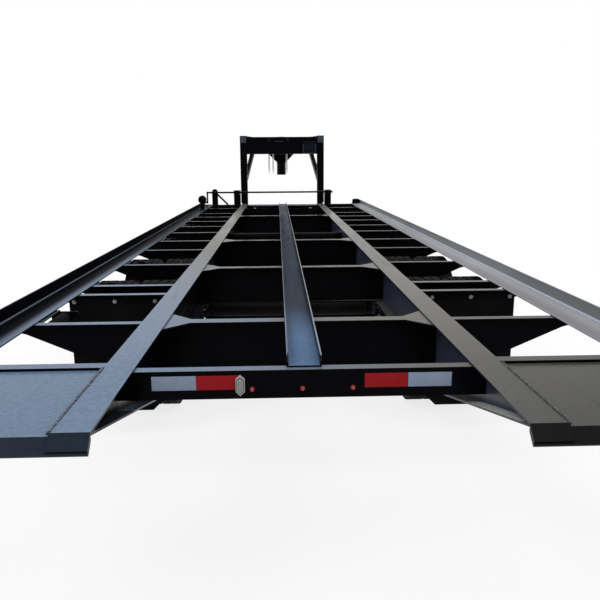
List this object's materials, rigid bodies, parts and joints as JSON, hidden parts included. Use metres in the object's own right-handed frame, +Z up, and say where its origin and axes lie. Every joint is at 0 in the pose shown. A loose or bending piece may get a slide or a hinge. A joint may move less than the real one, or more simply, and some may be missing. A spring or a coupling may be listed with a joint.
{
  "type": "tilt trailer",
  "caption": "Open-deck gooseneck tilt trailer: steel rails, tapered outriggers, tandem dual wheels, folding neck on lift cylinders and drop-leg jacks.",
  "frame": {"origin": "on the ground, on the centre line, midway along the whole length", "axes": "+X right, +Y forward towards the coupler, +Z up"},
  "size_m": [2.6, 11.644, 2.005],
  "materials": {
    "gloss_black_paint": "gloss",
    "undercarriage_black": "satin",
    "tyre_rubber": "matte",
    "wheel_steel": "satin",
    "flap_rubber": "matte",
    "lamp_lens": "gloss",
    "zinc_chain": "satin",
    "dark_plastic": "satin",
    "chrome_rod": "polished"
  },
  "bodies": {
    "deck": {"axle_front": "undercarriage_black", "axle_rear": "undercarriage_black", "centre_channel": "gloss_black_paint", "cross_beam_axle": "gloss_black_paint", "cross_beam_forward": "gloss_black_paint", "cross_beam_front": "gloss_black_paint", "cross_beam_middle": "gloss_black_paint", "cross_beam_rear": "gloss_black_paint", "cylinder_beam": "gloss_black_paint", "drop_leg_left": "gloss_black_paint", "drop_leg_right": "gloss_black_paint", "equaliser_left": "undercarriage_black", "equaliser_right": "undercarriage_black", "front_post": "gloss_black_paint", "landing_leg_left": "gloss_black_paint", "landing_leg_right": "gloss_black_paint", "landing_leg_shaft": "gloss_black_paint", "leaf_springs_left": "undercarriage_black", "leaf_springs_right": "undercarriage_black", "main_rail_left": "gloss_black_paint", "main_rail_right": "gloss_black_paint", "mud_flap_left": "flap_rubber", "mud_flap_right": "flap_rubber", "neck_hinge_left": "gloss_black_paint", "neck_hinge_right": "gloss_black_paint", "outriggers_left": "gloss_black_paint", "outriggers_right": "gloss_black_paint", "rear_bumper": "gloss_black_paint", "side_marker": "gloss_black_paint", "side_rail_left": "gloss_black_paint", "side_rail_right": "gloss_black_paint", "side_stop": "gloss_black_paint", "spring_hangers_left": "gloss_black_paint", "spring_hangers_right": "gloss_black_paint", "strap_winches": "gloss_black_paint", "tail_lamps": "lamp_lens", "tail_plate_left": "gloss_black_paint", "tail_plate_right": "gloss_black_paint"},
    "neck": {"coupler_tube": "gloss_black_paint", "equipment_box": "dark_plastic", "neck_beam_left": "gloss_black_paint", "neck_beam_right": "gloss_black_paint", "neck_brace_left": "gloss_black_paint", "neck_brace_right": "gloss_black_paint", "neck_head": "gloss_black_paint", "neck_lower_tube": "gloss_black_paint", "neck_top_box": "gloss_black_paint", "neck_upright_left": "gloss_black_paint", "neck_upright_right": "gloss_black_paint", "safety_chains": "zinc_chain"},
    "lift_barrels": {"lift_barrels": "gloss_black_paint"},
    "lift_rods": {"lift_rods": "chrome_rod"},
    "wheels_front_left": {"tyres_front_left": "tyre_rubber", "wheels_front_left": "wheel_steel"},
    "wheels_front_right": {"tyres_front_right": "tyre_rubber", "wheels_front_right": "wheel_steel"},
    "wheels_rear_left": {"tyres_rear_left": "tyre_rubber", "wheels_rear_left": "wheel_steel"},
    "wheels_rear_right": {"tyres_rear_right": "tyre_rubber", "wheels_rear_right": "wheel_steel"}
  },
  "joints": [
    {"name": "neck_tilt", "type": "hinge", "parent": "deck", "child": "neck", "pos_m": [0, 3.392, 0.47], "axis": [-1, 0, 0], "range_deg": [0, 58]},
    {"name": "barrel_swing", "type": "hinge", "parent": "deck", "child": "lift_barrels", "pos_m": [0, 2.472, 0.59], "axis": [-1, 0, 0], "range_deg": [0, 8.61]},
    {"name": "rod_slide", "type": "slide", "parent": "lift_barrels", "child": "lift_rods", "axis": [0, 0.987, 0.1609], "range_m": [0, 0.2191]},
    {"name": "wheel_front_left", "type": "hinge", "parent": "deck", "child": "wheels_front_left", "pos_m": [-0.9555, -2.55566, 0.3935], "axis": [1, 0, 0], "continuous": true},
    {"name": "wheel_front_right", "type": "hinge", "parent": "deck", "child": "wheels_front_right", "pos_m": [0.9555, -2.55566, 0.3935], "axis": [1, 0, 0], "continuous": true},
    {"name": "wheel_rear_left", "type": "hinge", "parent": "deck", "child": "wheels_rear_left", "pos_m": [-0.9555, -3.44466, 0.3935], "axis": [1, 0, 0], "continuous": true},
    {"name": "wheel_rear_right", "type": "hinge", "parent": "deck", "child": "wheels_rear_right", "pos_m": [0.9555, -3.44466, 0.3935], "axis": [1, 0, 0], "continuous": true}
  ],
  "couplings": [
    {"joint": "barrel_swing", "follows": "neck_tilt", "ratio": 0.13982},
    {"joint": "rod_slide", "follows": "neck_tilt", "m_per_rad": 0.21442}
  ]
}
